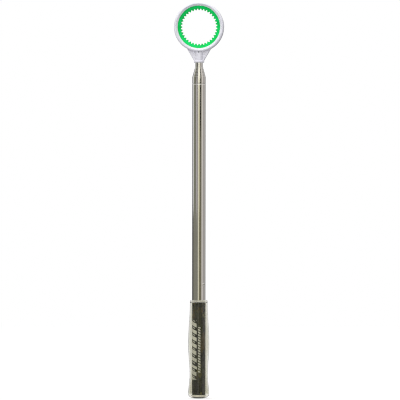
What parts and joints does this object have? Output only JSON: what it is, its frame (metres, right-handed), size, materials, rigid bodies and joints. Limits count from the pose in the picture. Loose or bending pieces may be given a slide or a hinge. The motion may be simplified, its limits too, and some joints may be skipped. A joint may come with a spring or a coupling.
{
  "type": "telescopic ball retriever",
  "caption": "Hand-held ball retriever: toothed gripping ring in a two-part plastic head, on a telescopic rod of nested stainless tubes with a clear hollow grip.",
  "frame": {"origin": "middle of the grip's butt, where the hand holds the closed rod upright", "axes": "+Z along the rod towards the ring head, -Y the front, with the ring's own axis along Y"},
  "size_m": [0.0592, 0.025, 0.4717],
  "materials": {
    "stainless_tube": "drawn and polished stainless steel",
    "stainless_turned": "turned stainless steel",
    "spring_brass": "rolled spring brass",
    "milky_plastic": "moulded, slightly translucent",
    "green_rubber": "moulded soft elastomer, satin",
    "clear_vinyl": "clear, dip-moulded, glossy",
    "printed_film": "printed film, satin",
    "natural_plastic": "moulded"
  },
  "bodies": {
    "handle": {"grip_sleeve": "clear_vinyl", "grip_label": "printed_film", "tube_end_plug": "natural_plastic", "section_1_tube": "stainless_tube"},
    "section_2": {"section_2_tube": "stainless_tube", "section_2_sleeve": "spring_brass"},
    "section_3": {"section_3_tube": "stainless_tube", "section_3_sleeve": "spring_brass"},
    "section_4": {"section_4_tube": "stainless_tube", "section_4_sleeve": "spring_brass"},
    "section_5": {"section_5_tube": "stainless_tube", "section_5_sleeve": "spring_brass"},
    "section_6": {"section_6_tube": "stainless_tube", "section_6_sleeve": "spring_brass"},
    "section_7": {"section_7_tube": "stainless_tube", "section_7_sleeve": "spring_brass"},
    "section_8_slider": {"section_8_sleeve": "spring_brass"},
    "head": {"section_8_tube": "stainless_tube", "rod_tip_plug": "stainless_turned", "neck_pin": "stainless_turned", "head_shell_front": "milky_plastic", "head_shell_rear": "milky_plastic", "gripping_ring": "green_rubber"}
  },
  "joints": [
    {"name": "section_2_slide", "type": "slide", "parent": "handle", "child": "section_2", "axis": [0, 0, 1], "range_m": [0, 0.337]},
    {"name": "section_3_slide", "type": "slide", "parent": "section_2", "child": "section_3", "axis": [0, 0, 1], "range_m": [0, 0.3388]},
    {"name": "section_4_slide", "type": "slide", "parent": "section_3", "child": "section_4", "axis": [0, 0, 1], "range_m": [0, 0.3406]},
    {"name": "section_5_slide", "type": "slide", "parent": "section_4", "child": "section_5", "axis": [0, 0, 1], "range_m": [0, 0.3424]},
    {"name": "section_6_slide", "type": "slide", "parent": "section_5", "child": "section_6", "axis": [0, 0, 1], "range_m": [0, 0.3442]},
    {"name": "section_7_slide", "type": "slide", "parent": "section_6", "child": "section_7", "axis": [0, 0, 1], "range_m": [0, 0.346]},
    {"name": "section_8_slide", "type": "slide", "parent": "section_7", "child": "section_8_slider", "axis": [0, 0, 1], "range_m": [0, 0.3478]},
    {"name": "head_swivel", "type": "hinge", "parent": "section_8_slider", "child": "head", "pos_m": [0, 0, 0.0275], "axis": [0, 0, 1], "continuous": true}
  ]
}
